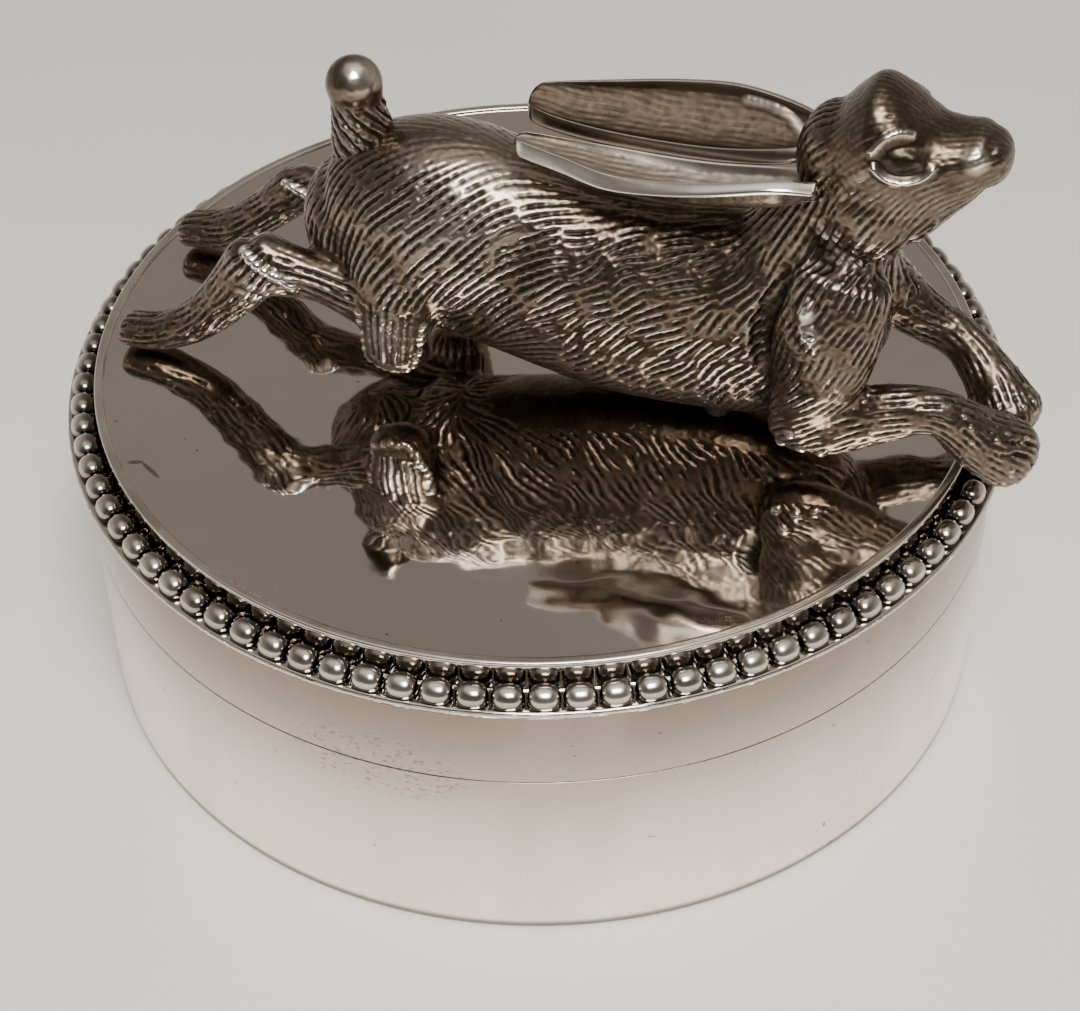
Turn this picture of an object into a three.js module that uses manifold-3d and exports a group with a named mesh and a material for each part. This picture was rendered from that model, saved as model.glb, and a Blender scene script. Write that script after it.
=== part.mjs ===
// A round keepsake box in silver plate, with a cast hare running across its lift-off lid.
// Millimetres, +Z up. The origin is the centre of the underside, and the box is seen from -Y.
import * as THREE from "three";
import { mergeVertices } from "three/addons/utils/BufferGeometryUtils.js";
import Module from "manifold-3d";

const wasm = await Module();
wasm.setup();

// Driving dimensions: base and lid walls
const wallRadius = 31.25;
const wallThickness = 1.25;
const baseHeight = 14;
const lidBandHeight = 6.35;
const seamGap = 0.15;
const floorThickness = 1.2;
const solderGap = 0.05;
const edgeBevel = 0.35;

// Driving dimensions: the inner collar that the lid slips over
const collarThickness = 0.8;
const collarRise = 4.2;
const collarClearance = 0.15;
const collarLeadIn = 0.4;

// Driving dimensions: the lid's top, its beads and its fillet wire
const rimOverhang = 0.75;
const rimThickness = 0.5;
const rimBevel = 0.15;
const fieldRise = 2;
const plateThickness = 1;
const beadRadius = 0.88;
const beadPitch = 2.16;
const beadSeat = 0.25;
const beadNeckRadius = 0.4;
const beadSetback = 0.2;
const coveWidth = 0.08;
const filletWireWidth = 0.65;
const filletWireRise = 0.2;
const filletWireSlope = 0.16;

// Driving dimensions: the hare's place on the lid
const hareTurn = -18;
const hareSideShift = -1.87;
const pawOverhang = 2.62;
const restGap = 0.3;
const castingGap = 0.3;
const earSocketGap = 0.6;

// Driving dimensions: the hare's ears and tail
const earThickness = 0.8;
const tailBallRadius = 1.85;
const tailLength = 6;
const tailRootRadius = 2.4;
const tailNeckRadius = 1.7;
const tailRings = 4;
const tailRingHeight = 0.17;

// Driving dimensions: the screw that holds the hare
const screwForward = 12.5;
const screwRadius = 1;
const screwDepth = 4;
const screwHeadRadius = 2.1;
const screwHeadHeight = 1.2;
const screwSlotWidth = 0.5;
const screwSlotDepth = 0.5;
const screwClearance = 0.3;
const screwBossWall = 1.1;
const washerRadius = 2.9;
const washerThickness = 0.4;

// Facets
const roundFacets = 72;
const beadSteps = 4;
const trunkSides = 18;
const limbSides = 12;
const limbSteps = 2;
const limbCapShare = 0.8;
const limbCapAngles = [60, 30];
const smallRoundFacets = 16;
const beadArcAngles = [20, 90, 160];
const tailRingShares = [0.25, 0.95];
const tailStalkShare = 0.8;
const tailBallAngles = [-40, -14, 12, 38, 64];

// Sizes that follow from the driving dimensions
const bandInner = wallRadius - wallThickness;
const lidSeam = baseHeight + seamGap;
const rimUnderside = lidSeam + lidBandHeight;
const rimTop = rimUnderside + rimThickness;
const plateTop = rimTop + fieldRise;
const plateUnderside = plateTop - plateThickness;
const rimRadius = wallRadius + rimOverhang;
const beadCircle = rimRadius - beadSetback - beadRadius;
const fieldRadius = beadCircle - beadRadius - coveWidth;
const beadHeight = rimTop + beadSeat;
const collarOuter = bandInner - collarClearance;
const collarInner = collarOuter - collarThickness;
const collarTop = baseHeight + collarRise;

// Hare stations: forward, left, height above the lid plate, half width, half depth
const torso = [
  [-11.8, 0, 9.6, 4.6, 5],
  [-9.4, 0, 10.6, 5.7, 6.5],
  [-6, 0, 10.8, 6.3, 7.1],
  [-2, 0, 9.9, 6.1, 7.1],
  [2, 0, 8.7, 5.8, 7.1],
  [6, 0, 7.9, 5.6, 7.3],
  [10, 0, 7.8, 5.3, 7.4],
  [14, 0, 8.1, 5, 7.5],
  [18, 0, 9.2, 4.5, 7],
  [20.2, 0, 10.4, 3.2, 4.6],
];
const neck = [
  [15.5, 0, 10.5, 3.8, 4.8],
  [18.6, 0, 14.6, 3.7, 4.4],
  [21, 0, 18.6, 3.6, 3.8],
];
const head = [
  [19, 0, 20.9, 3, 3.2],
  [20.2, 0, 20.9, 3.6, 4.3],
  [21.7, 0, 20.9, 4, 5.3],
  [23.4, 0, 20.55, 3.9, 4.8],
  [25, 0, 20.5, 3.4, 3.65],
  [26.4, 0, 21.3, 2.9, 2.85],
  [27.6, 0, 22.1, 2.5, 2.3],
  [28.2, 0, 22.4, 2, 1.6],
];
const rightForeleg = [
  [20.2, -3.2, 13.6, 2.4, 3.5],
  [20, -4.3, 10.4, 2.4, 3.5],
  [19.6, -4.9, 7.2, 2.1, 3],
  [18.8, -4.9, 4.2, 1.9, 2.3],
  [20.8, -4.7, 3.7, 1.8, 1.9],
  [24, -4.5, 5.3, 1.6, 2],
  [27.2, -3.9, 5.7, 1.5, 1.5],
  [29.9, -3, 3.5, 2, 2.1],
  [32.2, -2.2, 2, 2.3, 2.3],
];
const leftForeleg = [
  [19.6, 2.6, 12, 2.2, 3.4],
  [21.6, 3.5, 9.4, 2, 2.6],
  [24.6, 3.8, 7.2, 1.6, 1.8],
  [27.5, 3.6, 5.7, 1.4, 1.5],
  [29.6, 2.6, 4, 1.7, 1.8],
  [31.6, 1.7, 2.2, 2.2, 2.3],
];
const rightThigh = [
  [-7, -2.6, 12.4, 3, 5],
  [-7.7, -4.4, 9.6, 2.4, 3.7],
  [-7.8, -5.3, 6.6, 2, 2.6],
  [-7.9, -5.6, 4.2, 1.8, 2.3],
];
const rightShank = [
  [-9, -4.8, 6.8, 1.8, 2.1],
  [-13.2, -5, 8.2, 1.4, 1.6],
  [-17, -5.1, 8.7, 1.8, 2.3],
];
const rightFoot = [
  [-17.6, -5.1, 8.5, 1.7, 2.2],
  [-20, -5.15, 5.4, 1.5, 1.8],
  [-22.4, -5.2, 3, 1.5, 1.5],
  [-25, -5.3, 1.6, 1.6, 1.2],
  [-27.3, -5.3, 1.3, 1.6, 1],
];
const leftThigh = rightThigh.map(mirrored);
const leftShank = [
  [-9, 5, 6.4, 1.8, 2],
  [-14, 5.6, 6.7, 1.5, 1.5],
  [-18.8, 6, 6.9, 1.6, 1.7],
];
const leftFoot = [
  [-19.3, 6, 6.7, 1.6, 1.7],
  [-22, 6.1, 4.1, 1.5, 1.5],
  [-25, 6.2, 2.1, 1.6, 1.4],
  [-27.8, 6.2, 1.5, 1.7, 1.1],
];
const eye = [23.6, 2.75, 22.9, 1.6, 0.75, 1.1];
const cheek = [21.6, 2.5, 18.4, 2.9, 1.9, 2.8];
const pawReach = 34;

// Ear stations: forward, then left and height of the inner edge, of the trough and of the outer rim
const leftEar = [
  [18.6, 1.5, 20.4, 2.6, 19.8, 3.3, 20.4],
  [16, 0.6, 19.7, 2.6, 19.3, 4.3, 21.1],
  [12, 0.45, 19, 2.8, 19.2, 4.9, 21.5],
  [8, 0.45, 18.8, 2.7, 19.1, 4.8, 21.2],
  [4, 0.5, 18.9, 2.4, 19.1, 4.2, 20.8],
  [1, 0.7, 19.2, 2.1, 19.3, 3.4, 20.4],
  [-0.6, 1.2, 19.6, 2, 19.6, 2.8, 20.1],
];
const rightEar = [
  [18.6, 1.5, 20.4, 2.6, 19.6, 3.4, 20.5],
  [16, 0.6, 19.7, 2.7, 18.6, 4.2, 20.8],
  [12, 0.45, 19.1, 2.9, 18.1, 4.7, 20.1],
  [8.8, 0.45, 18.9, 2.8, 18.1, 4.5, 19.4],
  [5.6, 0.5, 18.9, 2.4, 18.3, 3.9, 18.8],
  [2.7, 0.6, 18.9, 1.9, 18.6, 3, 18.8],
  [0, 0.9, 19.1, 1.7, 18.9, 2.4, 19],
  [-0.8, 1.2, 19.2, 1.6, 19.1, 2.1, 19.2],
];
const earPoints = 6;
const hareForward = rimRadius + pawOverhang - pawReach;
const hareClearRadius = rimRadius + pawReach;
const tailRoot = [-11.3, 0.1, 14.1];
const tailLean = [-0.12, 0.03, 1];

// The same station on the other side of the hare's middle plane.
function mirrored([forward, left, ...rest]) {
  return [forward, -left, ...rest];
}

// A solid of revolution about Z from points of radius and height.
function revolve(profile, facets = roundFacets) {
  const points = profile.map(([radius, height]) => new THREE.Vector2(radius, height));
  return new THREE.LatheGeometry(points, facets).rotateX(Math.PI / 2);
}

// A ring of revolution whose profile closes on itself.
function revolveRing(profile, facets = roundFacets) {
  return revolve([...profile, profile[0]], facets);
}

// Faces between neighbouring rings of points. With no poles, the last ring joins the first.
function skin(rings, poles = []) {
  const sides = rings[0].length;
  const points = [...rings.flat(), ...poles];
  const spans = poles.length ? rings.length - 1 : rings.length;
  const faces = [];
  for (let i = 0; i < spans; i++) {
    const here = i * sides;
    const next = ((i + 1) % rings.length) * sides;
    for (let k = 0; k < sides; k++) {
      const other = (k + 1) % sides;
      faces.push(here + k, here + other, next + other);
      faces.push(here + k, next + other, next + k);
    }
  }
  const last = (rings.length - 1) * sides;
  for (let k = 0; k < sides && poles.length; k++) {
    const other = (k + 1) % sides;
    faces.push(points.length - 2, other, k);
    faces.push(points.length - 1, last + k, last + other);
  }
  const positions = points.flatMap((point) => point.toArray());
  const geometry = new THREE.BufferGeometry();
  geometry.setAttribute("position", new THREE.Float32BufferAttribute(positions, 3));
  geometry.setIndex(faces);
  return geometry;
}

// A rounded limb through stations. Its elliptical sections are square to its path, or all face one way.
function limb(stations, sides = limbSides, facing = null) {
  const curveOf = (points) => new THREE.CatmullRomCurve3(points, false, "catmullrom");
  const path = curveOf(stations.map(([s, t, z]) => new THREE.Vector3(s, t, z)));
  const girth = curveOf(stations.map(([, , , width, depth]) => new THREE.Vector3(width, depth, 0)));
  const steps = (stations.length - 1) * limbSteps;
  const rings = [];
  const poles = [];
  const addRing = (u, advance, shrink) => {
    const along = facing ?? path.getTangent(u);
    const sideways = new THREE.Vector3(0, 1, 0);
    sideways.addScaledVector(along, -sideways.dot(along)).normalize();
    const upward = new THREE.Vector3().crossVectors(along, sideways);
    const centre = path.getPoint(u).addScaledVector(along, advance);
    const size = girth.getPoint(u).multiplyScalar(shrink);
    const ring = [];
    for (let k = 0; k < sides; k++) {
      const angle = (2 * Math.PI * k) / sides;
      const point = centre.clone().addScaledVector(sideways, size.x * Math.cos(angle));
      ring.push(point.addScaledVector(upward, size.y * Math.sin(angle)));
    }
    rings.push(ring);
  };
  const capDepth = (u) => limbCapShare * Math.min(girth.getPoint(u).x, girth.getPoint(u).y);
  const addPole = (u, direction) => {
    const along = facing ?? path.getTangent(u);
    poles.push(path.getPoint(u).addScaledVector(along, direction * capDepth(u)));
  };
  const capAngles = limbCapAngles.map(THREE.MathUtils.degToRad);
  const capRing = (u, direction, angle) => {
    addRing(u, direction * capDepth(u) * Math.sin(angle), Math.cos(angle));
  };
  capAngles.forEach((angle) => capRing(0, -1, angle));
  for (let k = 0; k <= steps; k++) addRing(k / steps, 0, 1);
  [...capAngles].reverse().forEach((angle) => capRing(1, 1, angle));
  addPole(0, -1);
  addPole(1, 1);
  return skin(rings, poles);
}

// A ball stretched to three half sizes, at a place on the hare.
function lump([s, t, z, halfLength, halfWidth, halfHeight]) {
  const ball = new THREE.IcosahedronGeometry(1, 1);
  return ball.scale(halfLength, halfWidth, halfHeight).translate(s, t, z);
}

// A long hollow ear on one side (1 left, -1 right), grown all over by a margin.
function ear(side, margin = 0) {
  const stations = side > 0 ? leftEar : rightEar;
  const half = earThickness / 2 + margin;
  const lastStation = stations.length - 1;
  const endReach = (k, last) => (k === last ? margin : 0) - (k === 0 ? margin : 0);
  const rings = stations.map(([s, innerT, innerZ, lowT, lowZ, outerT, outerZ], station) => {
    const forward = s - endReach(station, lastStation);
    const inner = new THREE.Vector2(innerT, innerZ);
    const outer = new THREE.Vector2(outerT, outerZ);
    const middleOfEdges = inner.clone().lerp(outer, 0.5);
    const pull = new THREE.Vector2(2 * lowT, 2 * lowZ).sub(middleOfEdges);
    const trough = new THREE.QuadraticBezierCurve(inner, pull, outer);
    const under = [];
    const over = [];
    for (let k = 0; k < earPoints; k++) {
      const u = k / (earPoints - 1);
      const along = trough.getTangent(u);
      const place = trough.getPoint(u).addScaledVector(along, endReach(k, earPoints - 1));
      const normal = new THREE.Vector2(-along.y, along.x);
      const below = place.clone().addScaledVector(normal, -half);
      const above = place.clone().addScaledVector(normal, half);
      under.push(new THREE.Vector3(forward, side * below.x, below.y));
      over.unshift(new THREE.Vector3(forward, side * above.x, above.y));
    }
    const ring = [...under, ...over];
    return side > 0 ? ring.reverse() : ring;
  });
  const middle = (ring, advance) => {
    const sum = ring.reduce((total, point) => total.add(point), new THREE.Vector3());
    return sum.divideScalar(ring.length).add(new THREE.Vector3(advance, 0, 0));
  };
  const poles = [middle(rings[0], half), middle(rings[rings.length - 1], -half)];
  return skin(rings, poles);
}

// The tail stands along Z at its root: a ringed, tapering stalk with a ball on top, grown by a margin.
function tail(margin = 0) {
  const profile = [[0, -margin], [tailRootRadius + margin, -margin]];
  const stalkTop = tailLength - tailBallRadius * tailStalkShare;
  for (let ring = 0; ring < tailRings; ring++) {
    tailRingShares.forEach((share, place) => {
      const u = (ring + share) / tailRings;
      const bulge = place === 0 ? tailRingHeight : 0;
      const radius = THREE.MathUtils.lerp(tailRootRadius, tailNeckRadius, u);
      profile.push([radius + bulge + margin, u * stalkTop]);
    });
  }
  for (const turn of tailBallAngles.map(THREE.MathUtils.degToRad)) {
    const radius = tailBallRadius + margin;
    profile.push([radius * Math.cos(turn), tailLength + radius * Math.sin(turn)]);
  }
  profile.push([0, tailLength + tailBallRadius + margin]);
  return revolve(profile, smallRoundFacets);
}

// A closed geometry as a solid that can be cut and joined.
function solidOf(geometry) {
  const bare = geometry.clone();
  bare.deleteAttribute("normal");
  bare.deleteAttribute("uv");
  const merged = mergeVertices(bare, 1e-4);
  return new wasm.Manifold(new wasm.Mesh({
    numProp: 3,
    vertProperties: merged.attributes.position.array,
    triVerts: new Uint32Array(merged.index.array),
  }));
}

// A solid back as a geometry.
function geometryOf(solid) {
  const { vertProperties, triVerts, numProp } = solid.getMesh();
  const geometry = new THREE.BufferGeometry();
  const positions = [];
  for (let i = 0; i < vertProperties.length; i += numProp) {
    positions.push(...vertProperties.slice(i, i + 3));
  }
  geometry.setAttribute("position", new THREE.Float32BufferAttribute(positions, 3));
  geometry.setIndex([...triVerts]);
  geometry.computeVertexNormals();
  return geometry;
}

// Several geometries as one solid.
function joined(geometries) {
  return geometries.map(solidOf).reduce((whole, part) => whole.add(part));
}

// A solid with several geometries taken away.
function cut(solid, geometries) {
  return geometries.map(solidOf).reduce((whole, part) => whole.subtract(part), solid);
}

// A named piece with its own finish.
function piece(name, geometry, colour, roughness) {
  const material = new THREE.MeshStandardMaterial({ color: colour, roughness, metalness: 1 });
  const mesh = new THREE.Mesh(geometry, material);
  mesh.name = name;
  return mesh;
}

const brightSilver = 0xe9e6e1;
const mirrorSilver = 0xd5d0ca;
const dullSilver = 0xb9b4ac;
const darkSilver = 0x8d857a;

// Base: a soldered band, a floor set into it and the collar that rises out of it
function baseBand() {
  return piece("base_band", revolveRing([
    [bandInner, 0],
    [wallRadius - edgeBevel, 0],
    [wallRadius, edgeBevel],
    [wallRadius, baseHeight],
    [bandInner, baseHeight],
  ]), brightSilver, 0.2);
}

function baseFloor() {
  const radius = bandInner - solderGap;
  return piece("base_floor", revolve([
    [0, 0],
    [radius, 0],
    [radius, floorThickness],
    [0, floorThickness],
  ]), dullSilver, 0.35);
}

function baseCollar() {
  return piece("base_collar", revolveRing([
    [collarInner, floorThickness],
    [collarOuter, floorThickness],
    [collarOuter, collarTop - collarLeadIn],
    [collarOuter - collarLeadIn, collarTop],
    [collarInner, collarTop],
  ]), dullSilver, 0.3);
}

// Lid: a band, the stamped plate whose flange overhangs it, the fillet wire and the beaded wire
function lidBand() {
  return piece("lid_band", revolveRing([
    [bandInner, lidSeam],
    [wallRadius, lidSeam],
    [wallRadius, rimUnderside],
    [bandInner, rimUnderside],
  ]), brightSilver, 0.2);
}

function lidPlate(screwPlace) {
  const stepInner = fieldRadius - plateThickness;
  const disc = revolve([
    [0, plateUnderside],
    [stepInner, plateUnderside],
    [stepInner, rimUnderside],
    [rimRadius - rimBevel, rimUnderside],
    [rimRadius, rimUnderside + rimBevel],
    [rimRadius, rimTop - rimBevel],
    [rimRadius - rimBevel, rimTop],
    [fieldRadius, rimTop],
    [fieldRadius, plateTop],
    [0, plateTop],
  ]);
  const holeRadius = screwRadius + screwClearance;
  const hole = revolve([
    [0, plateUnderside - plateThickness],
    [holeRadius, plateUnderside - plateThickness],
    [holeRadius, plateTop + plateThickness],
    [0, plateTop + plateThickness],
  ], smallRoundFacets).translate(screwPlace.x, screwPlace.y, 0);
  return piece("lid_plate", geometryOf(cut(solidOf(disc), [hole])), mirrorSilver, 0.05);
}

function filletWire() {
  const inner = fieldRadius - filletWireWidth;
  return piece("lid_fillet_wire", revolveRing([
    [inner, plateTop],
    [fieldRadius, plateTop],
    [fieldRadius - filletWireSlope, plateTop + filletWireRise],
    [inner + filletWireSlope, plateTop + filletWireRise],
  ]), brightSilver, 0.15);
}

function beadBorder() {
  const beadCount = Math.round((2 * Math.PI * beadCircle) / beadPitch);
  const halfPitch = (Math.PI * beadCircle) / beadCount;
  const arcAngles = beadArcAngles.map(THREE.MathUtils.degToRad);
  const rings = [];
  for (let step = 0; step < beadCount * beadSteps; step++) {
    const fromCentre = halfPitch * ((2 * (step % beadSteps)) / beadSteps - 1);
    const ball = Math.sqrt(Math.max(0, beadRadius ** 2 - fromCentre ** 2));
    const radius = Math.max(beadNeckRadius, ball);
    const turn = (2 * Math.PI * step) / (beadCount * beadSteps);
    const at = (out, height) => new THREE.Vector3(Math.cos(turn) * out, Math.sin(turn) * out, height);
    const arc = arcAngles.map((angle) => {
      const out = beadCircle + radius * Math.cos(angle);
      return at(out, beadHeight + radius * Math.sin(angle));
    });
    const foot = Math.sqrt(Math.max(beadNeckRadius ** 2, radius ** 2 - beadSeat ** 2));
    rings.push([at(beadCircle + foot, rimTop), ...arc, at(beadCircle - foot, rimTop)].reverse());
  }
  return piece("bead_border", skin(rings), brightSilver, 0.2);
}

// Hare: the casting, its two ears and its tail, in a group turned on the lid
function tailPlacement() {
  const upright = new THREE.Vector3(0, 0, 1);
  const lean = new THREE.Vector3(...tailLean).normalize();
  const turn = new THREE.Quaternion().setFromUnitVectors(upright, lean);
  return new THREE.Matrix4().compose(new THREE.Vector3(...tailRoot), turn, new THREE.Vector3(1, 1, 1));
}

// What the casting may not reach into: the plate and, beyond its edge, the tops of the beads.
function ground() {
  const edge = fieldRadius + restGap;
  const beadTop = beadHeight + beadRadius - plateTop + restGap;
  return revolve([
    [0, -rimRadius],
    [hareClearRadius, -rimRadius],
    [hareClearRadius, beadTop],
    [edge, beadTop],
    [edge, restGap],
    [0, restGap],
  ]).translate(-hareForward, -hareSideShift, 0);
}

function hareBody() {
  const ahead = new THREE.Vector3(1, 0, 0);
  const trunk = [limb(torso, trunkSides), limb(neck, trunkSides), limb(head, trunkSides, ahead)];
  const legs = [
    rightForeleg, leftForeleg, rightThigh, rightShank, rightFoot, leftThigh, leftShank, leftFoot,
  ].map((stations) => limb(stations));
  const lumps = [eye, cheek].flatMap((place) => [lump(place), lump(mirrored(place))]);
  const boreRadius = screwRadius + screwClearance;
  const boreDepth = screwDepth + screwClearance;
  const bossRadius = boreRadius + screwBossWall;
  const post = (radius, height) => {
    const profile = [[0, 0], [radius, 0], [radius, height], [0, height]];
    return revolve(profile, smallRoundFacets).translate(screwForward, 0, 0);
  };
  const bore = post(boreRadius, boreDepth);
  const boss = post(bossRadius, boreDepth);
  const tailSocket = tail(castingGap).applyMatrix4(tailPlacement());
  const sockets = [ear(1, earSocketGap), ear(-1, earSocketGap), tailSocket];
  const body = cut(joined([...trunk, ...legs, ...lumps, boss]), [...sockets, bore, ground()]);
  return piece("hare_body", geometryOf(body), darkSilver, 0.35);
}

function hareTail() {
  const mesh = piece("hare_tail", tail(), darkSilver, 0.35);
  mesh.applyMatrix4(tailPlacement());
  return mesh;
}

function hare() {
  const group = new THREE.Group();
  const turn = THREE.MathUtils.degToRad(hareTurn);
  group.rotation.z = turn;
  group.position.set(hareForward, hareSideShift, 0).applyAxisAngle(new THREE.Vector3(0, 0, 1), turn);
  group.position.z = plateTop;
  group.add(hareBody(), hareTail());
  group.add(piece("hare_ear_left", ear(1), darkSilver, 0.3));
  group.add(piece("hare_ear_right", ear(-1), darkSilver, 0.3));
  return group;
}

// The screw that comes up through the plate, and the washer under its head
function hareScrew(screwPlace) {
  const headTop = plateUnderside - washerThickness;
  const headBottom = headTop - screwHeadHeight;
  const shank = revolve([
    [0, headBottom],
    [screwHeadRadius, headBottom],
    [screwHeadRadius, headTop],
    [screwRadius, headTop],
    [screwRadius, plateTop + screwDepth],
    [0, plateTop + screwDepth],
  ], smallRoundFacets);
  const slot = new THREE.BoxGeometry(4 * screwHeadRadius, screwSlotWidth, 2 * screwSlotDepth);
  slot.translate(0, 0, headBottom);
  const mesh = piece("hare_screw", geometryOf(cut(solidOf(shank), [slot])), dullSilver, 0.35);
  mesh.position.set(screwPlace.x, screwPlace.y, 0);
  return mesh;
}

function screwWasher(screwPlace) {
  const inner = screwRadius + screwClearance;
  const mesh = piece("hare_screw_washer", revolveRing([
    [inner, plateUnderside - washerThickness],
    [washerRadius, plateUnderside - washerThickness],
    [washerRadius, plateUnderside],
    [inner, plateUnderside],
  ], smallRoundFacets), dullSilver, 0.35);
  mesh.position.set(screwPlace.x, screwPlace.y, 0);
  return mesh;
}

const box = new THREE.Group();
const figure = hare();
figure.updateMatrix();
const screwPlace = new THREE.Vector3(screwForward, 0, 0).applyMatrix4(figure.matrix);
box.add(baseBand(), baseFloor(), baseCollar());
box.add(lidBand(), lidPlate(screwPlace), filletWire(), beadBorder());
box.add(figure, hareScrew(screwPlace), screwWasher(screwPlace));

export default box;
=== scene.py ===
"""Looks of a round silver-plated keepsake box with a cast hare running across its lift-off lid."""
import math

import bpy
import numpy as np
from mathutils import Matrix, Vector, noise
from mathutils.kdtree import KDTree


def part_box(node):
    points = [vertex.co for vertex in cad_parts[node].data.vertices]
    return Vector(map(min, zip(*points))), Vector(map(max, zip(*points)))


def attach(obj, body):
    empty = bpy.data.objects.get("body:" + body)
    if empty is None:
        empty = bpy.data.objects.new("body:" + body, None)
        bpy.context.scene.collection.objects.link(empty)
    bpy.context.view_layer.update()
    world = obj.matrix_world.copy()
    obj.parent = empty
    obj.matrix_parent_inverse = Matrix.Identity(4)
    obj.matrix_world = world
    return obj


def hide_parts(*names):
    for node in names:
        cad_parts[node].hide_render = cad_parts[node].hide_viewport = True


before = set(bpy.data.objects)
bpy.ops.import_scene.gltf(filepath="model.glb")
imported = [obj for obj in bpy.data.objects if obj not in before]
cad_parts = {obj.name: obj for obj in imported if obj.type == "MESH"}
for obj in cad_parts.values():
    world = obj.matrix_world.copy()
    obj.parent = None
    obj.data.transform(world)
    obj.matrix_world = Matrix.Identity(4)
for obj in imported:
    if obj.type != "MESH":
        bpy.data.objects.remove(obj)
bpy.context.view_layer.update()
rng = np.random.default_rng(11)
MM = 0.001

# Sizes of the box in mm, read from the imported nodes
def node_box(name):
    low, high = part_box(name)
    return np.array(low) / MM, np.array(high) / MM


wall_radius = node_box("base_band")[1][0]
base_top = node_box("base_band")[1][2]
lid_seam = node_box("lid_band")[0][2]
rim_under, plate_top = node_box("lid_plate")[0][2], node_box("lid_plate")[1][2]
rim_radius = node_box("lid_plate")[1][0]
bead_reach = node_box("bead_border")[1][0]
rim_top = node_box("bead_border")[0][2]
field_radius = node_box("lid_fillet_wire")[1][0]
wire_top = node_box("lid_fillet_wire")[1][2]
floor_radius, floor_top = node_box("base_floor")[1][0], node_box("base_floor")[1][2]
collar_radius, collar_top = node_box("base_collar")[1][0], node_box("base_collar")[1][2]
screw_low, screw_high = node_box("hare_screw")
plate_under = node_box("hare_screw_washer")[1][2]
band_inner = floor_radius + 0.05
bead_radius = 0.88
bead_circle = bead_reach - bead_radius
bead_count = 90
bead_seat = 0.25
bead_stretch = 1.18
bead_flatness = 0.75
collar_wall = 0.8
wire_width = 0.65
step_inner = field_radius - (plate_top - plate_under)

# The hare stands in a frame of its own: s forward, t left, z above the plate
HARE_TURN = math.radians(-18)
SCREW_FORWARD = 12.5
forward = np.array((math.cos(HARE_TURN), math.sin(HARE_TURN), 0))
leftward = np.array((-math.sin(HARE_TURN), math.cos(HARE_TURN), 0))
screw_axis = np.append((screw_low[:2] + screw_high[:2]) / 2, plate_top)
hare_origin = screw_axis - SCREW_FORWARD * forward


def to_row(points):
    """Hare points in mm as row-frame points in metres."""
    p = np.asarray(points, float)
    return (hare_origin + p[:, :1] * forward + p[:, 1:2] * leftward + p[:, 2:] * (0, 0, 1)) * MM


# Meshes
def new_object(name, points, faces):
    mesh = bpy.data.meshes.new(name)
    mesh.from_pydata([tuple(p) for p in points], [], [tuple(int(i) for i in f) for f in faces])
    mesh.validate()
    obj = bpy.data.objects.new(name, mesh)
    bpy.context.scene.collection.objects.link(obj)
    mesh.shade_smooth()
    return obj


def grid_faces(rows, columns, close_rows=False):
    """Quads between neighbouring rows of points. Each row closes on itself."""
    i = np.arange(rows if close_rows else rows - 1)[:, None]
    j = np.arange(columns)[None, :]
    i2, j2 = (i + 1) % rows, (j + 1) % columns
    corners = (i * columns + j, i * columns + j2, i2 * columns + j2, i2 * columns + j)
    return [tuple(f) for f in np.stack(np.broadcast_arrays(*corners), -1).reshape(-1, 4)]


def tube_faces(rows, sides):
    """Faces of a tube of points, with one flat face at either end."""
    last = (rows - 1) * sides
    return grid_faces(rows, sides) + [tuple(range(sides))[::-1], tuple(range(last, last + sides))]


def round_corners(profile, closed, steps=4):
    """Profile points (radius, height, rounding) as a finer line, with a support point by each rounding."""
    line = []
    for k, (radius, height, rounding) in enumerate(profile):
        here = np.array((radius, height), float)
        if rounding <= 0 or (not closed and k in (0, len(profile) - 1)):
            line.append(here)
            continue
        before = np.array(profile[k - 1][:2], float) - here
        after = np.array(profile[(k + 1) % len(profile)][:2], float) - here
        start = before / np.linalg.norm(before)
        end = after / np.linalg.norm(after)
        line.append(here + start * rounding * 1.5)
        for u in np.linspace(0, 1, steps + 1):
            line.append(here + start * rounding * (1 - u) ** 2 + end * rounding * u ** 2)
        line.append(here + end * rounding * 1.5)
    return np.array(line)


def lathe(name, profile, closed=True, segments=240):
    """A turned piece from a profile in mm. An open profile starts and ends on the axis."""
    line = round_corners(profile, closed)
    turn = np.linspace(0, 2 * math.pi, segments, endpoint=False)
    body = line if closed else line[1:-1]
    ring = np.stack([np.cos(turn), np.sin(turn)], -1)
    xy = body[:, None, :1] * ring[None]
    z = np.broadcast_to(body[:, None, 1:], (*xy.shape[:2], 1))
    points = np.concatenate([xy, z], -1).reshape(-1, 3)
    faces = grid_faces(len(body), segments, close_rows=closed)
    if not closed:
        first, last = len(points), len(points) + 1
        points = np.vstack([points, (0, 0, line[0][1]), (0, 0, line[-1][1])])
        top = (len(body) - 1) * segments
        for k in range(segments):
            k2 = (k + 1) % segments
            faces += [(first, k2, k), (last, top + k, top + k2)]
    return new_object(name, points * MM, faces)


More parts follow.
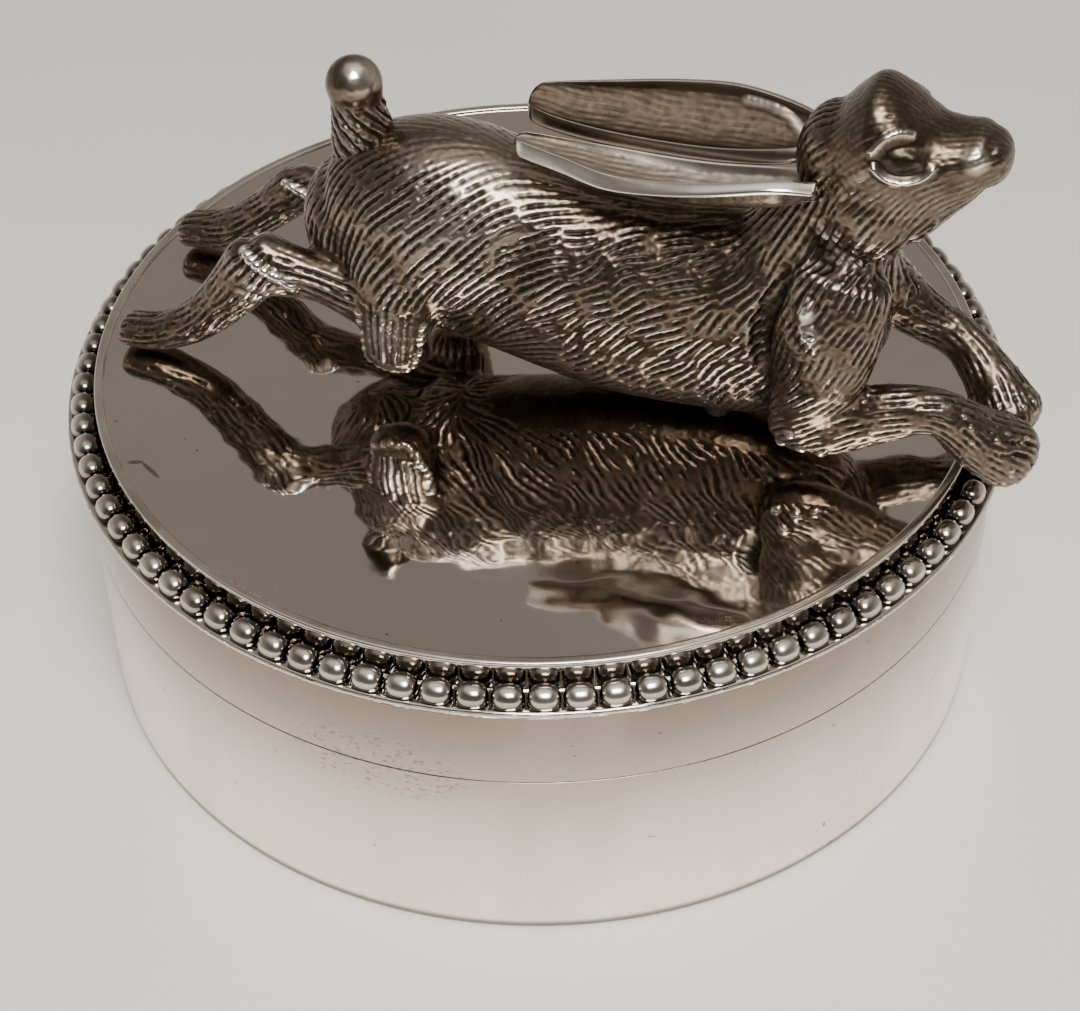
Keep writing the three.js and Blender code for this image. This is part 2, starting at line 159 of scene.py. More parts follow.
# Materials: node trees built from code
class Shader:
    """A Principled material with small helpers for its nodes."""

    def __init__(self, name):
        self.material = bpy.data.materials.new(name)
        self.material.use_nodes = True
        self.tree = self.material.node_tree
        self.surface = self.tree.nodes["Principled BSDF"]
        self.place = self.node("ShaderNodeTexCoord").outputs["Object"]

    def node(self, kind, **settings):
        made = self.tree.nodes.new(kind)
        for key, value in settings.items():
            setattr(made, key, value)
        return made

    def feed(self, socket, value):
        if isinstance(value, bpy.types.NodeSocket):
            self.tree.links.new(value, socket)
        else:
            socket.default_value = value

    def noise(self, scale, detail=4, stretch=(1, 1, 1)):
        spread = self.node("ShaderNodeMapping")
        self.feed(spread.inputs["Vector"], self.place)
        spread.inputs["Scale"].default_value = stretch
        made = self.node("ShaderNodeTexNoise")
        self.feed(made.inputs["Vector"], spread.outputs["Vector"])
        made.inputs["Scale"].default_value = scale
        made.inputs["Detail"].default_value = detail
        made.inputs["Roughness"].default_value = 0.55
        return made.outputs["Fac"]

    def ramp(self, value, low, high, to_low=0.0, to_high=1.0):
        made = self.node("ShaderNodeMapRange", interpolation_type="SMOOTHSTEP")
        self.feed(made.inputs["Value"], value)
        for key, number in (("From Min", low), ("From Max", high), ("To Min", to_low), ("To Max", to_high)):
            made.inputs[key].default_value = number
        return made.outputs["Result"]

    def mix(self, share, a, b):
        made = self.node("ShaderNodeMix", data_type="RGBA")
        for socket, value in ((made.inputs[0], share), (made.inputs[6], a), (made.inputs[7], b)):
            self.feed(socket, value if not isinstance(value, tuple) else (*value, 1))
        return made.outputs[2]

    def maths(self, operation, a, b):
        made = self.node("ShaderNodeMath", operation=operation)
        self.feed(made.inputs[0], a)
        self.feed(made.inputs[1], b)
        return made.outputs["Value"]

    def sum(self, a, b):
        return self.maths("ADD", a, b)

    def times(self, a, b):
        return self.maths("MULTIPLY", a, b)

    def attribute(self, name):
        made = self.node("ShaderNodeAttribute", attribute_name=name)
        return made.outputs["Fac"]

    def spot(self, centre, degrees, half_sizes):
        """1 inside a flat ellipse."""
        made = self.node("ShaderNodeMapping", vector_type="TEXTURE")
        self.feed(made.inputs["Vector"], self.place)
        made.inputs["Location"].default_value = centre
        made.inputs["Rotation"].default_value = (0, 0, math.radians(degrees))
        made.inputs["Scale"].default_value = half_sizes
        length = self.node("ShaderNodeVectorMath", operation="LENGTH")
        self.feed(length.inputs[0], made.outputs["Vector"])
        return self.ramp(length.outputs["Value"], 1, 0.6)

    def along(self, axis):
        made = self.node("ShaderNodeSeparateXYZ")
        self.feed(made.inputs[0], self.place)
        return made.outputs[axis]

    def bump(self, height, strength, distance):
        made = self.node("ShaderNodeBump")
        made.inputs["Strength"].default_value = strength
        made.inputs["Distance"].default_value = distance
        self.feed(made.inputs["Height"], height)
        self.feed(self.surface.inputs["Normal"], made.outputs["Normal"])

    def metal(self, colour, roughness):
        self.feed(self.surface.inputs["Base Color"], colour)
        self.feed(self.surface.inputs["Roughness"], roughness)
        self.surface.inputs["Metallic"].default_value = 1
        return self.material


def wall_silver():
    """Polished plate with a soft haze, painted shade darkening it towards the top under the rim, a painted
    contact shadow along its foot, fine scratches and a few pits.
    """
    s = Shader("polished_silver_wall")
    haze = s.noise(55, 5)
    clouds = s.mix(s.ramp(haze, 0.3, 0.7), (0.92, 0.855, 0.775), (0.98, 0.92, 0.845))
    # Painted shade: the wall darkens towards the top, under the overhanging rim.
    clouds = s.mix(s.ramp(s.along("Z"), 0.003, 0.0215), clouds, (0.27, 0.215, 0.17))
    streaks = s.ramp(s.noise(110, 4, stretch=(1, 1, 0.2)), 0.5, 0.72)
    clouds = s.mix(s.times(streaks, 0.3), clouds, (0.52, 0.45, 0.38))
    scuffed = s.spot((-0.0105, -0.0294, 0.0142), 0, (0.0075, 0.006, 0.0034))
    scuffs = s.times(scuffed, s.ramp(s.noise(2300, 2, stretch=(1, 1, 1.6)), 0.57, 0.64))
    clouds = s.mix(s.times(scuffs, 0.6), clouds, (0.2, 0.16, 0.12))
    # Painted contact shadow: a dark line along the bottom edge, where the wall meets the table.
    foot_shadow = s.ramp(s.along("Z"), 0.0008, 0.0003)
    clouds = s.mix(s.times(foot_shadow, 0.85), clouds, (0.12, 0.105, 0.09))
    pits = s.ramp(s.noise(900, 2), 0.735, 0.77)
    colour = s.mix(s.times(pits, 0.75), clouds, (0.16, 0.13, 0.10))
    scratches = s.noise(420, 3, stretch=(1, 1, 14))
    rough = s.sum(s.ramp(haze, 0.25, 0.75, 0.17, 0.30), s.ramp(scratches, 0.55, 0.7, 0, 0.08))
    s.bump(s.sum(scratches, s.times(pits, -3.0)), 0.05, 0.0001)
    return s.metal(colour, rough)


def trim_silver():
    """Bright worn wire, darkened by its patina attribute: tarnish and, on the beads, painted shade, lifted
    where a painted highlight lies.
    """
    s = Shader("bright_silver_trim")
    wear = s.noise(160, 4)
    bright = s.mix(s.ramp(wear, 0.35, 0.65), (0.54, 0.495, 0.435), (0.72, 0.67, 0.60))
    colour = s.mix(s.attribute("patina_and_shade"), bright, (0.06, 0.05, 0.04))
    rough = s.sum(s.ramp(wear, 0.3, 0.7, 0.16, 0.24), s.times(s.attribute("patina_and_shade"), -0.05))
    s.bump(s.noise(900, 3), 0.06, 0.0001)
    return s.metal(colour, rough)


def mirror_silver():
    """The lid's mirror field, with hair scratches and slight clouding."""
    s = Shader("mirror_silver_field")
    clouds = s.noise(40, 4)
    colour = s.mix(s.ramp(clouds, 0.3, 0.7), (0.67, 0.62, 0.565), (0.74, 0.69, 0.635))
    hairs = s.ramp(s.noise(380, 2, stretch=(1, 11, 1)), 0.66, 0.72)
    mark = s.ramp(s.noise(1200, 2), 0.76, 0.79)
    short = s.spot((-0.0262, -0.011, 0.023), 2, (0.0006, 0.00022, 1))
    nicks = s.sum(short, s.spot((-0.0251, -0.0118, 0.023), -51, (0.0013, 0.0002, 1)))
    colour = s.mix(s.times(s.sum(mark, nicks), 0.6), colour, (0.05, 0.04, 0.03))
    rough = s.sum(s.ramp(clouds, 0.3, 0.7, 0.03, 0.07), s.times(hairs, 0.05))
    s.bump(s.noise(150, 2), 0.6, 0.0002)
    return s.metal(colour, rough)


def satin_silver():
    """Dull plate inside the box and on the fixing."""
    s = Shader("satin_silver_inside")
    clouds = s.noise(70, 5)
    colour = s.mix(s.ramp(clouds, 0.3, 0.7), (0.50, 0.47, 0.43), (0.68, 0.65, 0.61))
    brushed = s.noise(500, 3, stretch=(1, 1, 0.08))
    rough = s.sum(s.ramp(clouds, 0.3, 0.7, 0.34, 0.46), s.ramp(brushed, 0.4, 0.7, 0, 0.06))
    s.bump(brushed, 0.08, 0.0001)
    return s.metal(colour, rough)


def cast_silver():
    """Oxidised casting: dark in its grooves and hollows, rubbed bright on its high spots, with painted shade
    and painted highlights carried in the same attributes.
    """
    s = Shader("cast_silver_oxidised")
    patches = s.noise(120, 4)
    fine = s.noise(900, 3)
    body = s.mix(s.ramp(patches, 0.3, 0.7), (0.090, 0.066, 0.045), (0.160, 0.121, 0.085))
    wear_and_highlight = s.mix(s.attribute("wear_and_highlight"), body, (0.72, 0.65, 0.55))
    # A near-white tier for the painted highlights and the most rubbed spots.
    wear_and_highlight = s.mix(s.ramp(s.attribute("wear_and_highlight"), 0.75, 1), wear_and_highlight, (0.97, 0.93, 0.86))
    dark = s.sum(s.attribute("patina_and_shade"), s.ramp(fine, 0.35, 0.75, -0.08, 0.12))
    colour = s.mix(s.ramp(dark, 0.05, 0.85), wear_and_highlight, (0.035, 0.029, 0.022))
    rough = s.sum(s.ramp(patches, 0.3, 0.7, 0.2, 0.3), s.times(s.attribute("patina_and_shade"), 0.25))
    rough = s.sum(rough, s.times(s.attribute("matte"), 0.3))
    rough = s.sum(rough, s.ramp(s.attribute("wear_and_highlight"), 0.6, 1, 0, -0.1))
    s.bump(fine, 0.12, 0.0001)
    return s.metal(colour, rough)


def table_top():
    """A pale matt table, with painted light making it lighter towards the front."""
    s = Shader("pale_table")
    clouds = s.noise(9, 3)
    colour = s.mix(s.ramp(clouds, 0.3, 0.7), (0.74, 0.72, 0.69), (0.78, 0.76, 0.73))
    # Painted light: a brighter pool towards the front of the table.
    colour = s.mix(s.ramp(s.along("Y"), 0.08, -0.045), colour, (1.0, 0.96, 0.91))
    s.feed(s.surface.inputs["Base Color"], colour)
    s.feed(s.surface.inputs["Roughness"], s.ramp(clouds, 0.3, 0.7, 0.55, 0.65))
    return s.material


WALL, TRIM, MIRROR, SATIN, CAST = wall_silver(), trim_silver(), mirror_silver(), satin_silver(), cast_silver()


def place(obj, material, body, slot, *stood_for):
    """Gives a piece its material and sets it in the place of its solids."""
    obj.data.materials.clear()
    obj.data.materials.append(material)
    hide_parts(*stood_for)
    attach(obj, body)
    return obj


def set_attribute(obj, name, values):
    made = obj.data.attributes.new(name, "FLOAT", "POINT")
    made.data.foreach_set("value", np.asarray(values, np.float32))


# Box: smooth turned bands, floor, collar and lid plate
seam_low = (base_top + lid_seam) / 2
base_band = lathe("base_wall", [
    (band_inner, 0.1, 0.1), (wall_radius - 0.05, 0, 0.3), (wall_radius, seam_low, 0.05),
    (band_inner, seam_low, 0.05)])
place(base_band, WALL, "base", "bright_silver", "base_band")
base_floor = lathe("base_bottom", [
    (0, 0.0, 0), (floor_radius - 1.2, 0.0, 0.1), (floor_radius, 0.15, 0.1), (floor_radius, floor_top, 0.1),
    (0, floor_top, 0)], closed=False)
place(base_floor, SATIN, "base", "dull_silver", "base_floor")
base_collar = lathe("base_inner_collar", [
    (collar_radius - collar_wall, floor_top, 0.1), (collar_radius, floor_top, 0.1),
    (collar_radius, collar_top - 0.4, 0.15), (collar_radius - 0.3, collar_top, 0.15),
    (collar_radius - collar_wall, collar_top, 0.15)])
place(base_collar, SATIN, "base", "dull_silver", "base_collar")
lid_band = lathe("lid_wall", [
    (band_inner, lid_seam, 0.06), (wall_radius, lid_seam, 0.06), (wall_radius, rim_under, 0.08),
    (band_inner, rim_under, 0.08)])
place(lid_band, WALL, "lid", "bright_silver", "lid_band")
lid_plate = lathe("lid_mirror_plate", [
    (0, plate_under, 0), (step_inner, plate_under, 0.2), (step_inner, rim_under, 0.1),
    (rim_radius - 0.08, rim_under, 0.12), (rim_radius, (rim_under + rim_top) / 2, 0.12),
    (rim_radius - 0.08, rim_top, 0.12), (field_radius, rim_top, 0.12), (field_radius, plate_top, 0.12),
    (0, plate_top, 0)], closed=False)
place(lid_plate, MIRROR, "lid", "mirror_silver", "lid_plate")
fillet_wire = lathe("lid_half_round_wire", [
    (field_radius - wire_width, plate_top - 0.05, 0), (field_radius, plate_top - 0.05, 0),
    (field_radius, wire_top, 0.18), (field_radius - wire_width, wire_top, 0.18)])
set_attribute(fillet_wire, "patina_and_shade", np.zeros(len(fillet_wire.data.vertices)))
place(fillet_wire, TRIM, "lid", "bright_silver", "lid_fillet_wire")


def beaded_wire():
    """Barrel-shaped beads that almost touch, with painted shade where they meet and on their lower and inner
    sides, painted shade growing from the front of the box to the back, and a painted highlight on the crest.
    """
    rows, columns = 13, 24
    tilt = np.linspace(-math.asin(bead_seat / bead_radius), math.radians(82), rows)
    around = np.linspace(0, 2 * math.pi, columns, endpoint=False)
    dome = np.stack([
        np.cos(tilt)[:, None] * np.cos(around), np.cos(tilt)[:, None] * np.sin(around),
        np.broadcast_to(np.sin(tilt)[:, None], (rows, columns))], -1).reshape(-1, 3)
    dome = np.vstack([dome, (0, 0, 1)]) * bead_radius
    top = (rows - 1) * columns
    cap = [(len(dome) - 1, top + k, top + (k + 1) % columns) for k in range(columns)]
    quads = grid_faces(rows, columns) + cap
    along = dome[:, 1:2] / bead_radius
    barrel = bead_stretch * bead_radius * np.sign(along) * np.abs(along) ** bead_flatness
    points, faces, patina_and_shade = [], [], []
    for k in range(bead_count):
        turn = 2 * math.pi * (k + 0.5) / bead_count
        out = np.array((math.cos(turn), math.sin(turn), 0))
        side = np.array((-math.sin(turn), math.cos(turn), 0))
        faces += [tuple(i + len(dome) * k for i in f) for f in quads]
        up = (0, 0, 1) * (rim_top + bead_seat + dome[:, 2:])
        points.append(out * (bead_circle + dome[:, :1]) + side * barrel + up)
        # Painted shade on the lower side, the inner side and the sides where beads meet; a painted highlight
        # on the crest that faces the front and up.
        low = np.clip((0.2 - dome[:, 2]) / 0.4, 0, 1)
        neck = np.clip((np.abs(dome[:, 1]) - 0.66) / 0.2, 0, 1)
        inner = np.clip(0.4 - dome[:, 0] / bead_radius, 0, 1)
        crest_highlight = np.clip((0.65 * dome[:, 0] + 0.76 * dome[:, 2]) / bead_radius / 0.25 - 2.8, 0, 1)
        # Even tarnish, plus painted shade that darkens the beads from the front of the box round to the back.
        tarnish_and_shade = 0.5 + 0.25 * math.sin(turn)
        patina_and_shade.append(np.clip(tarnish_and_shade + 0.4 * inner + 0.5 * low + 0.9 * neck - 0.6 * crest_highlight, 0, 1))
    obj = new_object("lid_bead_row", np.vstack(points) * MM, faces)
    set_attribute(obj, "patina_and_shade", np.concatenate(patina_and_shade))
    return obj


place(beaded_wire(), TRIM, "lid", "bright_silver", "bead_border")

# The fixing under the lid keeps its solids
for name in ("hare_screw", "hare_screw_washer"):
    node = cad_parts[name]
    node.data.materials.clear()
    node.data.materials.append(SATIN)

# Hare stations: forward, left, height above the plate, half width, half depth
TORSO = [
    (-11.8, 0, 9.6, 4.6, 5), (-9.4, 0, 10.6, 5.7, 6.5), (-6, 0, 10.8, 6.3, 7.1), (-2, 0, 9.9, 6.1, 7.1),
    (2, 0, 8.7, 5.8, 7.1), (6, 0, 7.9, 5.6, 7.3), (10, 0, 7.8, 5.3, 7.4), (14, 0, 8.1, 5, 7.5),
    (18, 0, 9.2, 4.5, 7), (20.2, 0, 10.4, 3.2, 4.6)]
NECK = [(15.5, 0, 10.5, 3.8, 4.8), (18.6, 0, 14.6, 3.7, 4.4), (21, 0, 18.6, 3.6, 3.8)]
HEAD = [
    (19, 0, 20.9, 3, 3.3), (20.2, 0, 21, 3.6, 4.6), (21.4, 0, 21, 3.9, 5.5), (23.2, 0, 20.7, 3.9, 5),
    (25, 0, 20.6, 3.4, 3.8), (26.4, 0, 21.3, 2.9, 2.9), (27.6, 0, 22.1, 2.4, 2.3), (28.2, 0, 22.4, 1.9, 1.7)]
RIGHT_FORELEG = [
    (20.2, -3.2, 13.6, 2.4, 3.5), (20, -4.3, 10.4, 2.4, 3.5), (19.6, -4.9, 7.2, 2.1, 3),
    (18.8, -4.9, 4.2, 1.9, 2.3), (20.8, -4.7, 3.7, 1.8, 1.9), (24, -4.5, 5.3, 1.6, 2),
    (27.2, -3.9, 5.7, 1.5, 1.5), (29.9, -3, 3.5, 2, 2.1), (31.7, -2.2, 2.1, 2.3, 2.4)]
LEFT_FORELEG = [
    (19.6, 2.6, 12, 2.2, 3.4), (21.6, 3.5, 9.4, 2, 2.6), (24.6, 3.8, 7.2, 1.6, 1.8),
    (27.5, 3.6, 5.7, 1.4, 1.5), (29.6, 2.6, 4, 1.7, 1.8), (31.1, 1.5, 2.3, 2.3, 2.4)]
RIGHT_THIGH = [
    (-7, -2.6, 12.4, 3, 5), (-7.7, -4.4, 9.6, 2.4, 3.7), (-7.8, -5.3, 6.6, 2, 2.6),
    (-7.9, -5.6, 4.2, 1.8, 2.3)]
RIGHT_SHANK = [(-9, -4.8, 6.8, 1.8, 2.1), (-13.2, -5, 8.2, 1.4, 1.6), (-17, -5.1, 8.7, 1.8, 2.3)]
RIGHT_FOOT = [
    (-17.6, -5.1, 8.5, 1.7, 2.2), (-20, -5.15, 5.4, 1.5, 1.8), (-22.4, -5.2, 3, 1.5, 1.5),
    (-25, -5.3, 1.6, 1.6, 1.2), (-27.3, -5.3, 1.3, 1.6, 1)]
LEFT_THIGH = [(s, -t, *rest) for s, t, *rest in RIGHT_THIGH]
LEFT_SHANK = [(-9, 5, 6.4, 1.8, 2), (-14, 5.6, 6.7, 1.5, 1.5), (-18.8, 6, 6.9, 1.6, 1.7)]
LEFT_FOOT = [
    (-19.3, 6, 6.7, 1.6, 1.7), (-22, 6.1, 4.1, 1.5, 1.5), (-25, 6.2, 2.1, 1.6, 1.4),
    (-27.8, 6.2, 1.5, 1.7, 1.1)]
# Lumps: forward, left, height, then the three half sizes. Each is mirrored to the other side.
LUMPS = [(23.6, 2.75, 22.9, 1.6, 0.75, 1.1), (21.6, 2.5, 18.4, 2.9, 1.9, 2.8)]
REST_GAP = 0.3


def catmull(rows, count):
    """Points and slopes of a Catmull-Rom line through rows of numbers."""
    p = np.array(rows, float)
    last = len(p) - 1
    p = np.vstack([2 * p[0] - p[1], p, 2 * p[-1] - p[-2]])
    u = np.linspace(0, last, count)
    i = np.minimum(u.astype(int), last - 1)
    w = (u - i)[:, None]
    a, b, c, d = p[i], p[i + 1], p[i + 2], p[i + 3]
    first, second, third = c - a, 2 * a - 5 * b + 4 * c - d, 3 * b - a - 3 * c + d
    points = 0.5 * (2 * b + first * w + second * w ** 2 + third * w ** 3)
    slopes = 0.5 * (first + 2 * second * w + 3 * third * w ** 2)
    return points, slopes


def unit(v):
    return v / np.maximum(np.linalg.norm(v, axis=-1, keepdims=True), 1e-12)


def limb(stations, sides=36, facing=None, squareness=1.0):
    """A rounded limb through stations, as points and faces. A squareness under 1 flattens its sides."""
    rows, slopes = catmull(stations, 9 * (len(stations) - 1) + 1)
    along = unit(slopes[:, :3]) if facing is None else np.tile(facing, (len(rows), 1))
    sideways = unit(np.array((0, 1.0, 0)) - along * along[:, 1:2])
    upward = np.cross(along, sideways)
    depth = 0.8 * rows[:, 3:5].min(1)
    angle = np.linspace(0, 2 * math.pi, sides, endpoint=False)
    across, over = (np.sign(x) * np.abs(x) ** squareness for x in (np.cos(angle), np.sin(angle)))
    rings = []
    caps = [(0, -x) for x in np.radians((80, 65, 48, 32, 16))] + [(k, 0) for k in range(len(rows))]
    caps += [(len(rows) - 1, x) for x in np.radians((16, 32, 48, 65, 80))]
    for k, x in caps:
        centre = rows[k, :3] + along[k] * depth[k] * math.sin(x)
        wide, deep = rows[k, 3:5] * math.cos(x)
        rings.append(centre + np.outer(across * wide, sideways[k]) + np.outer(over * deep, upward[k]))
    return np.vstack(rings), tube_faces(len(rings), sides)


def ball(s, t, z, half_s, half_t, half_z):
    """A lump round a point, as points and faces."""
    rows, columns = 14, 22
    tilt = np.linspace(-1.5, 1.5, rows)
    around = np.linspace(0, 2 * math.pi, columns, endpoint=False)
    points = np.stack([
        np.cos(tilt)[:, None] * np.cos(around) * half_s + s,
        np.cos(tilt)[:, None] * np.sin(around) * half_t + t,
        np.broadcast_to((np.sin(tilt) * half_z + z)[:, None], (rows, columns))], -1).reshape(-1, 3)
    return points, tube_faces(rows, columns)


class Clay:
    """A dense closed mesh in the hare's frame, in mm, that is pushed in and out along its normals.

    Several shells are fused in voxels. One clean shell, with no voxel size, is only made finer.
    """

    def __init__(self, name, shells, voxel=None, smoothing=0):
        points, faces = [], []
        for shell_points, shell_faces in shells:
            start = sum(len(p) for p in points)
            points.append(shell_points)
            faces += [tuple(i + start for i in f) for f in shell_faces]
        self.obj = new_object(name, np.vstack(points), faces)
        if voxel:
            remesh = self.obj.modifiers.new("fuse", "REMESH")
            remesh.mode = "VOXEL"
            remesh.voxel_size = voxel
            smooth = self.obj.modifiers.new("soften", "SMOOTH")
            smooth.factor = 0.5
            smooth.iterations = smoothing
        dense = self.obj.modifiers.new("finer", "SUBSURF")
        dense.levels = 1 if voxel else 2
        self.bake()

    def bake(self):
        """Applies the modifiers and reads the dense mesh."""
        old = self.obj.data
        made = self.obj.evaluated_get(bpy.context.evaluated_depsgraph_get())
        self.obj.modifiers.clear()
        mesh = bpy.data.meshes.new_from_object(made)
        self.obj.data = mesh
        bpy.data.meshes.remove(old)
        count = len(mesh.vertices)
        self.co = np.empty(count * 3)
        mesh.vertices.foreach_get("co", self.co)
        self.co = self.co.reshape(-1, 3)
        edges = np.empty(len(mesh.edges) * 2, np.int64)
        mesh.edges.foreach_get("vertices", edges)
        self.edges = edges.reshape(-1, 2)
        self.degree = np.bincount(self.edges.ravel(), minlength=count).clip(1)
        self.patina_and_shade, self.shine, self.matte, self.rise = (np.zeros(count) for _ in range(4))
        self.tree = tree_of(self.co)
        self.refresh()

    def refresh(self):
        """Writes the points back and reads their normals."""
        mesh = self.obj.data
        mesh.vertices.foreach_set("co", self.co.ravel())
        mesh.update()
        normal = np.empty(len(self.co) * 3)
        mesh.vertex_normals.foreach_get("vector", normal)
        self.normal = normal.reshape(-1, 3)

    def settle(self):
        """Applies the gathered rise and fall along the normals."""
        self.co = self.co + self.normal * self.rise[:, None]
        self.rise[:] = 0
        self.refresh()

    def spread(self, values, times):
        """Values averaged with their neighbours."""
        values = np.asarray(values, float)
        a, b = self.edges.T
        for _ in range(times):
            total = np.bincount(a, values[b], len(values)) + np.bincount(b, values[a], len(values))
            values = 0.5 * values + 0.5 * total / self.degree
        return values

    def smoothed(self, times):
        """The points, averaged with their neighbours."""
        return np.stack([self.spread(self.co[:, k], times) for k in range(3)], -1)

    def hollow(self, times):
        """How far each point lies below its surroundings, in mm."""
        return ((self.smoothed(times) - self.co) * self.normal).sum(1)

    def blend(self, times, rounds, fill):
        """Fills the creases where limbs meet."""
        for _ in range(rounds):
            smooth = self.smoothed(times)
            depth = ((smooth - self.co) * self.normal).sum(1)
            share = self.spread(np.clip(depth / fill, 0, 1), 4)
            self.co = self.co + share[:, None] * (smooth - self.co)
            self.refresh()
        self.tree = tree_of(self.co)

    def snap(self, path):
        """Points moved onto the surface."""
        return np.array([self.co[self.tree.find(p)[1]] for p in path])

    def distance(self, points, reach):
        """Distance of each point of the clay to the closest of some points, or reach."""
        low, high = points.min(0) - reach, points.max(0) + reach
        found = np.full(len(self.co), float(reach))
        tree = tree_of(points)
        for k in np.flatnonzero(((self.co > low) & (self.co < high)).all(1)):
            found[k] = min(reach, tree.find(self.co[k])[2])
        return found

    def mark(self, bell, height, dark, shine):
        """Raises, darkens and brightens the clay by a share per point."""
        self.rise += bell * height
        self.patina_and_shade = np.maximum(self.patina_and_shade, bell * dark)
        self.shine = np.maximum(self.shine, bell * shine)

    def line(self, path, half_width, height, dark=0.0, shine=0.0):
        """A ridge (height over 0) or groove along a path laid on the surface."""
        rough = self.snap(path)
        length = np.linalg.norm(np.diff(rough, axis=0), axis=1).sum()
        fine = self.snap(catmull(rough, max(8, int(length / 0.1)))[0])
        bell = (1 - (self.distance(fine, half_width) / half_width) ** 2) ** 2
        self.mark(bell, height, dark, shine)

    def knobs(self, places, radius, height, dark=0.0, shine=0.0):
        """Round knobs at places on the surface."""
        bell = (1 - (self.distance(self.snap(places), radius) / radius) ** 2) ** 1.5
        self.mark(bell, height, dark, shine)

    def dress(self, node, bright, shade):
        """Patina in the fine hollows and painted shade in the broad ones, wear on the high spots together
        with the painted highlights marked as shine, then the piece goes into the row frame.
        """
        fine, broad = self.hollow(3), self.hollow(40)
        # The broad hollows get painted shade, as in creases; the fine ones get patina in the grooves.
        dark = self.patina_and_shade + np.clip(fine / 0.05, 0, 1) * 0.5 + np.clip(broad / shade, 0, 1)
        wear_and_highlight = self.shine + np.clip(-fine / 0.03, 0, 1) * 0.5 + np.clip(-broad / bright - 0.1, 0, 1) * 0.6
        set_attribute(self.obj, "patina_and_shade", np.clip(self.spread(np.clip(dark, 0, 1), 1), 0, 1))
        set_attribute(self.obj, "matte", self.matte)
        set_attribute(self.obj, "wear_and_highlight", np.clip(self.spread(np.clip(wear_and_highlight, 0, 1), 1), 0, 1))
        self.obj.data.vertices.foreach_set("co", to_row(self.co).ravel())
        self.obj.data.update()
        self.obj.data.shade_smooth()
        place(self.obj, CAST, "lid", "cast_silver", node)


def tree_of(points):
    tree = KDTree(len(points))
    for k, p in enumerate(points):
        tree.insert(p, k)
    tree.balance()
    return tree


# Lay of the fur seen from the side: forward, height, angle below straight back, in degrees
LAY = np.array([
    (-13, 9, 82), (-11, 13, 62), (-8, 11, 52), (-8, 15, 40), (-4, 13, 45), (-4, 8, 58), (-2, 5, 45),
    (2, 11, 30), (2, 14, 18), (2, 6, 34), (6, 9, 34), (6, 4, 48), (10, 12, 22), (10, 7, 44), (10, 3, 55),
    (14, 4, 60), (14, 10, 48), (17, 14, 58), (19, 17, 62), (21, 17, 66), (24, 19, 60), (21, 22, 40),
    (23, 26, 12), (27, 22, 18), (20, 10, 62), (19.5, 5.5, 34), (-8, 6, 88), (-8, 3, 90)])
LIMB_LINES = [RIGHT_FORELEG[4:], LEFT_FORELEG[2:], RIGHT_SHANK, RIGHT_FOOT, LEFT_SHANK, LEFT_FOOT]


def lay_of_fur(clay):
    """A unit direction along the surface at each point of the clay."""
    s, t, z = clay.co.T
    gap = (s[:, None] - LAY[:, 0]) ** 2 + (z[:, None] - LAY[:, 1]) ** 2
    weight = 1 / (gap + 0.6) ** 2
    angle = np.radians((weight * LAY[:, 2]).sum(1) / weight.sum(1))
    aim = np.stack([-np.cos(angle), 0.25 * np.sign(t) * np.clip(np.abs(t) / 3, 0, 1), -np.sin(angle)], -1)
    for stations in LIMB_LINES:
        rows, slopes = catmull(stations, 40)
        tree = tree_of(rows[:, :3])
        reach = rows[:, 3:5].max() + 0.8
        low, high = rows[:, :3].min(0) - reach, rows[:, :3].max(0) + reach
        for k in np.flatnonzero(((clay.co > low) & (clay.co < high)).all(1)):
            _, at, far = tree.find(clay.co[k])
            if far < rows[at, 3:5].max() + 0.5:
                aim[k] = unit(slopes[at, :3])
    return unit(aim - clay.normal * (aim * clay.normal).sum(1)[:, None])


def fur_lines(clay, aim, pitch, longest, step=0.13):
    """Evenly spaced strokes that follow the lay of the fur. Each new stroke starts beside an older one."""
    normals, aims = [Vector(n) for n in clay.normal], [Vector(a) for a in aim]
    taken, lines, waiting = {}, [], []
    cell = 0.5

    def key_of(p):
        return tuple(int(math.floor(c / cell)) for c in p)

    def crowded(p, limit, mine):
        x, y, z = key_of(p)
        for i in (x - 1, x, x + 1):
            for j in (y - 1, y, y + 1):
                for k in (z - 1, z, z + 1):
                    for q, owner in taken.get((i, j, k), ()):
                        if owner != mine and (q - p).length_squared < limit * limit:
                            return True
        return False

    def trace(seed):
        gap = pitch[seed]
        halves = []
        for sense in (1, -1):
            p, index, half = Vector(clay.co[seed]), seed, []
            for _ in range(int(longest[seed] * rng.uniform(0.3, 0.6) / step)):
                way = aims[index] * sense
                p = p + way * step
                _, index, far = clay.tree.find(p)
                p = p - normals[index] * (p - Vector(clay.co[index])).dot(normals[index])
                turned = aims[index].dot(way) * sense < 0.6
                if far > 0.4 or pitch[index] <= 0 or turned or crowded(p, 0.72 * gap, len(lines)):
                    break
                half.append((p.copy(), index))
            halves.append(half)
        return halves[1][::-1] + [(Vector(clay.co[seed]), seed)] + halves[0]

    for first in rng.permutation(len(clay.co))[: len(clay.co) // 8]:
        waiting.append(first)
        while waiting:
            seed = waiting.pop()
            if pitch[seed] <= 0 or crowded(Vector(clay.co[seed]), 0.96 * pitch[seed], -1):
                continue
            line = trace(seed)
            if len(line) < 5:
                continue
            for p, _ in line:
                taken.setdefault(key_of(p), []).append((p, len(lines)))
            for p, index in line[2:-2:4]:
                across = normals[index].cross(aims[index]) * pitch[index] * 1.04
                for side in (p + across, p - across):
                    _, beside, far = clay.tree.find(side)
                    if far < 0.3:
                        waiting.append(beside)
            rng.shuffle(waiting)
            lines.append([p for p, _ in line])
    return lines


